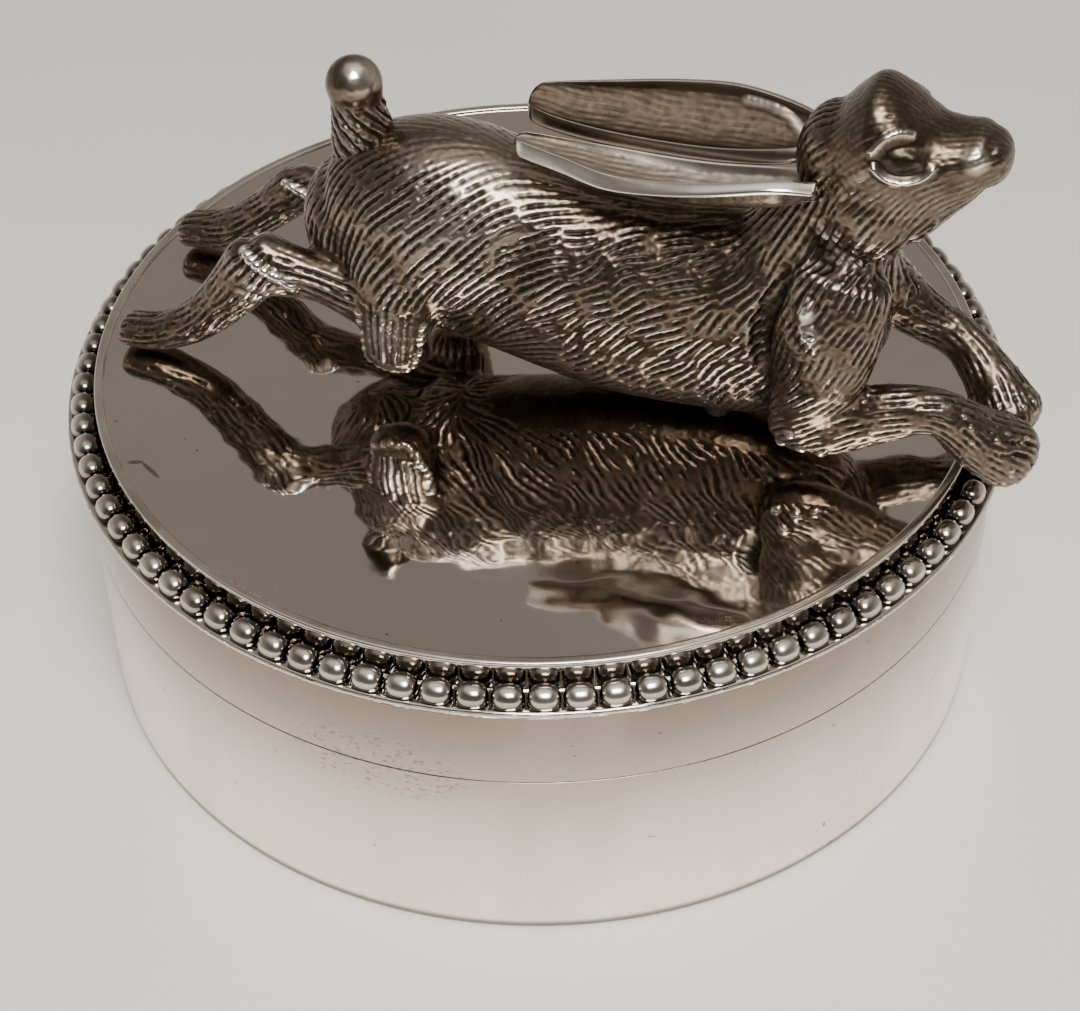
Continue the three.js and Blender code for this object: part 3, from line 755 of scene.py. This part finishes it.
def noise_at(clay, cell):
    """Smooth noise from about -1 to 1, in patches of one cell."""
    return np.array([noise.noise(Vector(p) / cell) for p in clay.co])


def ruffled(clay, aim, degrees):
    """The lay of the fur, turned a little from place to place."""
    turn = noise_at(clay, 2.2) * np.radians(degrees)
    return aim * np.cos(turn)[:, None] + np.cross(clay.normal, aim) * np.sin(turn)[:, None]


def engrave(clay, lines, depth, half_width):
    """Cuts tapering, beaded grooves along the lines. Depth and half width are given for each point."""
    points, strength = [], []
    for line in lines:
        force, start = rng.uniform(0.7, 1.15), rng.uniform(0, 6)
        for k, p in enumerate(line):
            points.append(p)
            taper = min(1, 0.35 + 0.65 * min(k, len(line) - 1 - k) / 4)
            strength.append(force * taper * (0.8 + 0.2 * math.cos(start + 1.2 * k)))
    tree = tree_of(points)
    cut = np.zeros(len(clay.co))
    for k in np.flatnonzero(depth > 0):
        _, at, far = tree.find(clay.co[k])
        if far < half_width[k]:
            cut[k] = strength[at] * (1 - (far / half_width[k]) ** 2) ** 2
    clay.rise -= cut * depth
    clay.settle()
    clay.patina_and_shade = np.maximum(clay.patina_and_shade, np.clip(cut * depth / 0.15, 0, 1))


def eye(clay, side, relief):
    """A dark ball in a shallow socket, over a raised lower lid with a painted highlight."""
    _, at, _ = clay.tree.find((23.5, side * 3.4, 23.3))
    normal = clay.normal[at]
    along = unit(np.array((1, 0, 0.1)) - normal * (normal[0] + 0.1 * normal[2]))
    upward = np.cross(normal, along)
    upward = upward * np.sign(upward[2])
    gap = clay.co - clay.co[at]
    near = (np.abs(gap) < 3).all(1)
    height = gap @ upward
    r = np.sqrt((gap @ along / 1.6) ** 2 + (height / 1.15) ** 2)
    lid = np.exp(-((r - 1.12) / 0.17) ** 2) * np.clip(-height / 0.5, 0, 1) * near
    clay.mark(np.exp(-(r / 1.05) ** 4) * near, -0.3 * relief, 0.45, 0)
    clay.mark(np.exp(-(r / 0.6) ** 4) * near, 0.3 * relief, 0.8, 0)
    # Painted highlight along the raised lower lid.
    clay.mark(lid, 0.3 * relief, 0, 0.45)
    clay.patina_and_shade *= 1 - lid


def face(clay, side):
    """Eye, brow, cheek, muzzle and ruff, with painted highlights on the brow, cheek, nose and ruff and
    painted shade under the ruff. The eye of the far side is softer.
    """
    relief = 1 if side < 0 else 0.5
    eye(clay, side, relief)
    brow = [
        (21.7, side * 3.4, 23.7), (22.3, side * 3.3, 24.6), (23.2, side * 3.1, 25.1),
        (24.3, side * 2.9, 25.2)]
    # Brow ridge with a painted highlight.
    clay.line(brow, 0.36, 0.18 * relief, 0, 0.6)
    cheek = [(21.4, side * 3.9, 22.4), (20.6, side * 4, 21.4), (19.8, side * 3.9, 20.4)]
    # Cheek ridge with a faint painted highlight.
    clay.line(cheek, 0.5, 0.08, 0, 0.15)
    clay.knobs([(26.4, side * 2.9, 21.9)], 0.9, -0.1, 0.35)
    clay.knobs([(28.9, side * 1.2, 22.4)], 0.4, -0.08, 0.35)
    mouth = [(28.9, side * 0.8, 21.1), (27.8, side * 2, 20.4), (26.2, side * 2.8, 19)]
    clay.line(mouth, 0.28, -0.1, 0.4)
    # Painted highlight on the upper side of the nose.
    clay.knobs([(27.7, side * 2.2, 23.3)], 1.0, 0.08, 0, 1)
    ruff = np.array([
        (18.6, side * 3.9, 18.2), (19.8, side * 4.2, 16.6), (21.6, side * 4.0, 15.6), (23.4, side * 3.2, 16),
        (24.6, side * 2.6, 17.2)])
    # Ruff ridge with a faint painted highlight, painted shade in the groove under it, and knobs with painted
    # highlights.
    clay.line(ruff, 0.9, 0.12, 0, 0.1)
    clay.line(ruff - (0, 0, 1.4), 1.1, -0.2, 0.6)
    clay.knobs(catmull(ruff, 24)[0] + rng.normal(0, 0.6, (24, 3)), 0.3, 0.1, 0, 0.35)


def knee(clay, side):
    """Upright grooves inside a row of small knobs, with a painted sheen over the lobe and painted highlights
    on the knobs.
    """
    for k in np.linspace(-1.5, 1.5, 6) + rng.normal(0, 0.07, 6):
        groove = [
            (-7.7 + k, side * 7.2, rng.uniform(7.2, 9)), (-7.85 + k, side * 7.5, 6),
            (-7.9 + 0.8 * k, side * 7.3, 4 + 0.3 * abs(k))]
        clay.line(groove, 0.28, -0.16, 0.5)
    # Painted sheen over the knee lobe.
    clay.knobs([(-7.9, side * 7.4, 6)], 2.4, 0, 0, 0.6)
    # A rim of knobs with painted highlights.
    rim = catmull([
        (-10.0, side * 6.4, 7.2), (-9.9, side * 6.6, 5), (-9.3, side * 6.9, 3.5), (-8, side * 7.0, 2.7),
        (-6.6, side * 6.9, 3.4), (-5.8, side * 6.6, 5), (-5.6, side * 6.4, 7)], 19)[0]
    clay.knobs(rim + rng.normal(0, 0.1, rim.shape), 0.4, 0.18, 0, 0.8)


def folds(clay, side):
    """Soft folds of the coat between the thigh, the flank and the shoulder, with painted shade in the folds
    and a painted highlight on the upper arm.
    """
    # Grooves with painted shade in the thigh and shoulder folds.
    thigh = [
        (0.6, side * 6, 13.5), (-0.6, side * 6.3, 10.5), (-2.4, side * 6.2, 7.6), (-4.2, side * 5.8, 5.4)]
    clay.line(thigh, 2.4, -0.6, 0.15)
    shoulder = [
        (16.6, side * 4.6, 14.5), (16, side * 5.2, 10.5), (16.1, side * 5.5, 6.5), (16.8, side * 5.2, 3)]
    clay.line(shoulder, 1.1, -0.5, 0.5)
    # A ridge with a painted highlight on the upper arm.
    upper_arm = [(19, side * 5.3, 13.4), (18.8, side * 6.2, 12), (19.6, side * 6.3, 11.2)]
    clay.line(upper_arm, 0.7, 0.25, 0, 0.4)


def coat(clay):
    """Engraves the fur, then paints shade on the belly and under the ears, darkens the cheeks, crown, arms
    and legs, and paints a highlight on the haunch.
    """
    s, t, z = clay.co.T
    up = clay.normal[:, 2]
    arms = (s > 16.8) & (s < 24.5) & (np.abs(t) > 3.4) & (z < 13.5)
    legs = ((s < -11.5) & (z < 8)) | ((s > 22.5) & (z < 8))
    flank = np.clip((s - 1) / 3, 0, 1) * (z < 15)
    aim = ruffled(clay, lay_of_fur(clay), np.where(arms | legs, 18, 8 + 22 * flank))
    back = np.clip((up - 0.72) / 0.2, 0, 1) * (s < 16)
    head = np.clip((s - 18) / 2, 0, 1) * np.clip((z - 18.5) / 2, 0, 1)
    knees = (np.abs(s + 7.9) < 2.4) & (z < 8.2) & (np.abs(t) > 5)
    pitch = np.where(head > 0.5, 0.38, np.where(arms | legs, 0.48, 0.55))
    eyes = (np.hypot(s - 23.5, z - 23.5) < 1.8) & (np.abs(t) > 1.5)
    pitch = np.where(((up < -0.75) & (z < 3)) | knees | eyes, 0, pitch)
    crown = head * np.clip((z - 20.5) / 2, 0, 1)
    haunch = np.clip((2 - s) / 4, 0, 1)
    depth = (0.17 + 0.03 * haunch) * (1 - 0.8 * back) * (1 - 0.45 * head) * (1 - 0.6 * crown)
    depth = np.where(legs | arms, 0.14, depth)
    longest = np.where(head > 0.5, 2.5, 5.5 - 2.5 * flank)
    longest = np.where(arms | legs, 2.2, longest)
    engrave(clay, fur_lines(clay, aim, pitch, longest), depth, 0.43 * pitch)
    clay.rise += noise_at(clay, 0.32) * np.where(legs | arms, 0.025, 0.02)
    clay.rise += noise_at(clay, 1.5) * 0.03
    # Painted shade on the lower body and under the ears; the cheeks, crown, arms and legs are made darker.
    belly = np.clip((8 - z) / 6, 0, 1) * ((s > -4) & (s < 17.5))
    cheeks = head * np.clip((22 - z) / 2, 0, 1)
    shaded = np.clip((s - 1) / 3, 0, 1) * np.clip((17 - s) / 3, 0, 1) * np.clip((z - 12) / 3, 0, 1)
    tone = 0.45 * belly + 0.3 * cheeks + 0.25 * crown + 0.2 * shaded
    clay.patina_and_shade = np.maximum(clay.patina_and_shade, np.where(arms, 0.12, np.where(legs, 0.24, tone)))
    # Painted highlight on the top of the haunch.
    haunch_highlight = np.exp(-((s + 4.5) / 4) ** 2 - ((z - 15) / 2.5) ** 2)
    clay.shine = np.maximum(clay.shine, 0.6 * haunch_highlight * (1 - clay.patina_and_shade))


def details(clay):
    """Faces and knees, then ridges, knobs and toes of the legs and the knobs of the shoulder, with painted
    highlights on the hocks, shoulder and elbows.
    """
    for side in (-1, 1):
        face(clay, side)
        knee(clay, side)
    # Ridges and knobs of the hocks, with painted highlights.
    clay.line([(-18, -5.9, 10.2), (-16.4, -6.4, 9.4), (-14.6, -6.3, 8.4)], 0.55, 0.35, 0, 0.9)
    hock = [
        (-17.4, -6.7, 7.9), (-16.5, -6.7, 7.4), (-18.1, -6.4, 7.1), (-15.7, -6.5, 7.8),
        (-17.3, -6.5, 6.8)]
    clay.knobs(hock, 0.7, 0.16, 0, 0.5)
    clay.line([(-19.6, 4.8, 8), (-18.4, 4.4, 7.6), (-17, 4.3, 7)], 0.45, 0.3, 0, 0.8)
    for t in (-6, -5.2, -4.5):
        clay.line([(-25.4, t, 2.8), (-27.2, t, 2.2), (-28.6, t, 1.2)], 0.26, -0.12, 0.45)
    for t in (5.5, 6.2, 6.9):
        clay.line([(-26, t, 2.8), (-27.6, t, 2.4), (-29, t, 1.3)], 0.26, -0.12, 0.45)
    for t in (-3.3, -2.5, -1.6):
        clay.line([(31.4, 1.2 * t, 3.4), (33, t, 3), (34, t, 1.4)], 0.26, -0.14, 0.5)
        clay.line([(31.4, -1.2 * t, 3.4), (33, -t, 3), (34, -t, 1.4)], 0.26, -0.14, 0.5)
    paws = np.flatnonzero((clay.co[:, 0] > 28.6) & (clay.co[:, 2] < 8))
    clay.knobs(clay.co[rng.choice(paws, 110)], 0.26, 0.08, 0, 0.4)
    # Knobs with a painted highlight on the shoulder, round a dark pit.
    clay.knobs([(19.3, -6.4, 11.8), (18.9, -6, 13.2)], 0.8, 0.16, 0, 0.9)
    clay.knobs([(19.3, -6.4, 11.8)], 0.35, -0.16, 0.7)
    # Elbow knobs with painted highlights.
    clay.knobs([(18, -6.2, 2.9), (19.4, -6.4, 2.9), (18.6, -6.3, 4.1), (20.6, -6, 2.6)], 0.5, 0.22, 0, 0.8)


def hare_body():
    """The casting of torso, head and legs."""
    ahead = (1.0, 0, 0)
    shells = [limb(TORSO, 56), limb(NECK, 44), limb(HEAD, 48, ahead, 0.82)]
    shells += [limb(x) for x in (
        RIGHT_FORELEG, LEFT_FORELEG, RIGHT_THIGH, RIGHT_SHANK, RIGHT_FOOT, LEFT_THIGH, LEFT_SHANK, LEFT_FOOT)]
    for s, t, *rest in LUMPS:
        shells += [ball(s, t, *rest), ball(s, -t, *rest)]
    clay = Clay("hare_casting", shells, 0.22, 6)
    clay.blend(40, 4, 0.15)
    for side in (-1, 1):
        folds(clay, side)
    clay.settle()
    clay.tree = tree_of(clay.co)
    coat(clay)
    details(clay)
    clay.settle()
    flat = clay.co[:, 2] < REST_GAP
    clay.co[flat, 2] = REST_GAP
    clay.refresh()
    clay.dress("hare_body", 0.5, 0.9)


hare_body()

# Ears: forward, then left and height of the inner edge, of the trough and of the outer rim
LEFT_EAR = [
    (18.6, 1.5, 20.4, 2.6, 19.8, 3.3, 20.4), (16, 0.6, 19.7, 2.6, 19.3, 4.3, 21.1),
    (12, 0.45, 19, 2.8, 19.2, 4.9, 21.5), (8, 0.45, 18.8, 2.7, 19.1, 4.8, 21.2),
    (4, 0.5, 18.9, 2.4, 19.1, 4.2, 20.8), (1, 0.65, 19.2, 2.1, 19.3, 3.6, 20.5),
    (-0.5, 0.9, 19.5, 2, 19.5, 3.2, 20.3), (-1, 1.2, 19.6, 2, 19.6, 2.8, 20.2)]
RIGHT_EAR = [
    (18.6, 1.5, 20.4, 2.6, 19.6, 3.4, 20.5), (16, 0.6, 19.7, 2.7, 18.6, 4.2, 20.8),
    (12, 0.45, 19.1, 2.9, 18.1, 4.7, 20.1), (8.8, 0.45, 18.9, 2.8, 18.1, 4.5, 19.4),
    (5.6, 0.5, 18.9, 2.4, 18.3, 3.9, 18.8), (2.7, 0.6, 18.9, 1.9, 18.6, 3, 18.8),
    (0, 0.9, 19.1, 1.7, 18.9, 2.4, 19), (-0.8, 1.2, 19.2, 1.6, 19.1, 2.1, 19.2)]
EAR_THICK = 0.8


def ear_shell(side, stations):
    """A troughed ear with thick rims, as points and faces."""
    across = 22
    rows, _ = catmull(stations, 70)
    u = np.linspace(0, 1, across)[:, None]
    rings = []
    for forward_s, *edges in rows:
        inner, low, outer = (np.array(edges[k:k + 2]) for k in (0, 2, 4))
        pull = 2 * low - 0.5 * inner - 0.5 * outer
        trough = (1 - u) ** 2 * inner + 2 * u * (1 - u) * pull + u ** 2 * outer
        along = unit(np.gradient(trough, axis=0))
        normal = np.stack([-along[:, 1], along[:, 0]], -1)
        rim = np.clip(1 - np.minimum(u, 1 - u) / 0.16, 0, 1) ** 1.5
        half = EAR_THICK / 2 * (0.85 + 0.55 * rim)
        ring = np.vstack([trough - normal * half, (trough + normal * half)[::-1]])
        tip = np.clip(1 - (forward_s - rows[-1, 0]) / 0.7, 0, 0.99)
        ring = ring.mean(0) + (ring - ring.mean(0)) * math.sqrt(1 - tip ** 2)
        rings.append(np.column_stack([np.full(len(ring), forward_s), side * ring[:, 0], ring[:, 1]]))
    if side > 0:
        rings = [r[::-1] for r in rings]
    return np.vstack(rings), tube_faces(len(rings), 2 * across)


def ear(side, stations, name, node):
    """An ear with strokes in its hollow. The near one has painted highlights on its rims, outside and hollow;
    the far one has a root ridge with a painted highlight.
    """
    clay = Clay(name, [ear_shell(side, stations)])
    s, t, _ = clay.co.T
    aim = np.tile((-1.0, 0, 0), (len(s), 1))
    aim = unit(aim - clay.normal * (aim * clay.normal).sum(1)[:, None])
    rows, _ = catmull(stations, 60)
    inner = np.interp(s, rows[::-1, 0], rows[::-1, 1])
    outer = np.interp(s, rows[::-1, 0], rows[::-1, 5])
    share = (np.abs(t) - inner) / np.maximum(outer - inner, 0.2)
    hollow = (clay.normal[:, 2] > 0.3) & (share > 0.2) & (share < 0.82)
    lines = fur_lines(clay, ruffled(clay, aim, 16), np.where(hollow, 0.42, 0), np.full(len(s), 3))
    engrave(clay, lines, np.where(hollow, 0.045, 0.0), np.full(len(s), 0.2))
    clay.rise += noise_at(clay, 0.6) * np.where(hollow, 0.03, 0)
    clay.patina_and_shade = np.maximum(clay.patina_and_shade, np.where(hollow, 0.2 if side > 0 else 0.1, 0))
    clay.matte = clay.spread(np.where(hollow, 1.0, 0), 4)
    above = clay.normal[:, 2] > 0
    if side < 0:
        # Painted highlights on the rims, the outside and the hollow of the near ear.
        rim = np.exp(-((share - 0.95) / 0.16) ** 2) * above
        edge = np.exp(-((share - 0.04) / 0.18) ** 2) * above * np.clip((s - 2) / 4, 0, 1)
        outside = np.clip(-clay.normal[:, 2] / 0.5, 0, 1) * np.clip((share - 0.5) / 0.3, 0, 1)
        clay.shine = np.maximum.reduce([rim, edge, outside, np.where(hollow, 0.25, 0)])
    else:
        # Root ridge with a painted highlight.
        root = [(12.5, 4.2, 20.8), (14.6, 3.9, 20.6), (16, 3.1, 20.1), (16.8, 2.2, 19.9), (17.2, 1.2, 20.2)]
        clay.line(root, 0.5, 0.15, 0, 0.7)
    clay.settle()
    clay.dress(node, 0.35, 0.5)


ear(1, LEFT_EAR, "hare_left_ear", "hare_ear_left")
ear(-1, RIGHT_EAR, "hare_right_ear", "hare_ear_right")

# Tail: a twisted stalk with a ball
TAIL_ROOT = np.array((-11.3, 0.1, 14.1))
TAIL_LEAN = unit(np.array((-0.12, 0.03, 1.0)))
TAIL_LENGTH, TAIL_BALL, TAIL_FOOT, TAIL_NECK = 6, 1.85, 2.4, 1.7
TAIL_SIDES = 40


def tail():
    """The stalk, twisted like a rope, and its ball, with a painted highlight on one side."""
    stalk_top = TAIL_LENGTH - 0.6 * TAIL_BALL
    taper = (TAIL_NECK - TAIL_FOOT) / stalk_top
    rows = [(h, TAIL_FOOT + taper * h) for h in np.linspace(0, stalk_top, 24)]
    for a in np.radians(np.arange(-20, 90, 7)):
        rows.append((TAIL_LENGTH + TAIL_BALL * math.sin(a), TAIL_BALL * math.cos(a)))
    sideways = unit(np.cross(TAIL_LEAN, (1.0, 0, 0)))
    ahead = np.cross(sideways, TAIL_LEAN)
    angle = np.linspace(0, 2 * math.pi, TAIL_SIDES, endpoint=False)
    ring = np.outer(np.cos(angle), ahead) + np.outer(np.sin(angle), sideways)
    points = np.vstack([TAIL_ROOT + TAIL_LEAN * h + r * ring for h, r in rows])
    faces = tube_faces(len(rows), TAIL_SIDES)
    clay = Clay("hare_tail_ball", [(points, faces)], 0.2, 3)
    up = (clay.co - TAIL_ROOT) @ TAIL_LEAN
    out = clay.co - TAIL_ROOT - np.outer(up, TAIL_LEAN)
    turn = np.arctan2(out @ sideways, out @ ahead)
    stalk = np.clip((stalk_top + 0.2 - up) / 0.5, 0, 1)
    rope = np.cos(2 * math.pi * up / 1.1 + 12 * turn + noise_at(clay, 1))
    clay.mark(np.clip(-rope, 0, 1) * stalk, -0.16, 0.8, 0)
    clay.rise += noise_at(clay, 0.4) * 0.08 * (0.2 + 0.8 * stalk)
    clay.patina_and_shade = np.maximum(clay.patina_and_shade, 0.2 * stalk)
    # Painted highlight on one side of the ball.
    glint = TAIL_ROOT + TAIL_LEAN * TAIL_LENGTH + TAIL_BALL * np.array((0.45, -0.5, 0.74))
    clay.knobs([glint], 1.6, 0, 0, 1)
    clay.settle()
    clay.dress("hare_tail", 0.35, 0.6)


tail()

# Table
bpy.ops.mesh.primitive_plane_add(size=3, location=(0, 0, 0))
table = bpy.context.object
table.name = "table"
table.data.materials.append(table_top())

# Brightness of the room by height, from level to straight up
SKY_STOPS = [
    (0.3, (0.42, 0.39, 0.36)), (0.55, (0.26, 0.235, 0.21)), (0.78, (0.24, 0.215, 0.19)),
    (0.92, (0.7, 0.68, 0.65))]


def room():
    """A dim room, bright overhead and darker on the side that the box is seen from."""
    world = bpy.data.worlds.new("studio")
    bpy.context.scene.world = world
    world.use_nodes = True
    nodes, links = world.node_tree.nodes, world.node_tree.links
    split = nodes.new("ShaderNodeSeparateXYZ")
    links.new(nodes.new("ShaderNodeTexCoord").outputs["Generated"], split.inputs[0])
    ramp = nodes.new("ShaderNodeValToRGB")
    links.new(split.outputs["Z"], ramp.inputs["Fac"])
    stops = ramp.color_ramp.elements
    stops[0].position, stops[0].color = 0.0, (0.55, 0.53, 0.50, 1)
    stops[1].position, stops[1].color = 1.0, (1.0, 0.98, 0.95, 1)
    for position, colour in SKY_STOPS:
        stop = stops.new(position)
        stop.color = (*colour, 1)
    front = nodes.new("ShaderNodeMapRange")
    links.new(split.outputs["Y"], front.inputs["Value"])
    for key, number in (("From Min", -0.6), ("From Max", 0.1), ("To Min", 0.3), ("To Max", 1.0)):
        front.inputs[key].default_value = number
    dim = nodes.new("ShaderNodeVectorMath")
    dim.operation = "SCALE"
    links.new(ramp.outputs["Color"], dim.inputs[0])
    links.new(front.outputs["Result"], dim.inputs["Scale"])
    links.new(dim.outputs["Vector"], nodes["Background"].inputs["Color"])
    nodes["Background"].inputs["Strength"].default_value = 1.1


def ceiling_light():
    """One soft square light above the front of the table."""
    place_at, aim_at = Vector((0.07, -0.38, 0.72)), Vector((0, 0, 0.02))
    lamp = bpy.data.lights.new("ceiling_light", "AREA")
    lamp.shape = "RECTANGLE"
    lamp.size, lamp.size_y = 0.32, 0.32
    lamp.energy = 7.5
    lamp.color = (1, 0.98, 0.95)
    obj = bpy.data.objects.new("ceiling_light", lamp)
    bpy.context.scene.collection.objects.link(obj)
    obj.location = place_at
    obj.rotation_euler = (aim_at - place_at).to_track_quat("-Z", "Y").to_euler()


# Camera fitted to the round edges of the lid and the foot
SENSOR_WIDTH = 36
FOCAL_PIXELS, PICTURE_WIDTH = 2496.7, 1080
CAMERA_AT = Vector((0, -0.13265, 0.12914))
PITCH, PAN, ROLL = math.radians(42.26), math.radians(-0.026), math.radians(1.009)


def camera():
    data = bpy.data.cameras.new("camera")
    data.sensor_fit = "HORIZONTAL"
    data.sensor_width = SENSOR_WIDTH
    data.lens = SENSOR_WIDTH * FOCAL_PIXELS / PICTURE_WIDTH
    data.clip_start = 0.005
    obj = bpy.data.objects.new("camera", data)
    bpy.context.scene.collection.objects.link(obj)
    look = Vector((math.sin(PAN) * math.cos(PITCH), math.cos(PAN) * math.cos(PITCH), -math.sin(PITCH)))
    flat_right = look.cross(Vector((0, 0, 1))).normalized()
    flat_up = flat_right.cross(look)
    right = flat_right * math.cos(ROLL) - flat_up * math.sin(ROLL)
    up = flat_up * math.cos(ROLL) + flat_right * math.sin(ROLL)
    pose = Matrix((right, up, -look)).transposed().to_4x4()
    pose.translation = CAMERA_AT
    obj.matrix_world = pose
    bpy.context.scene.camera = obj


room()
ceiling_light()
camera()
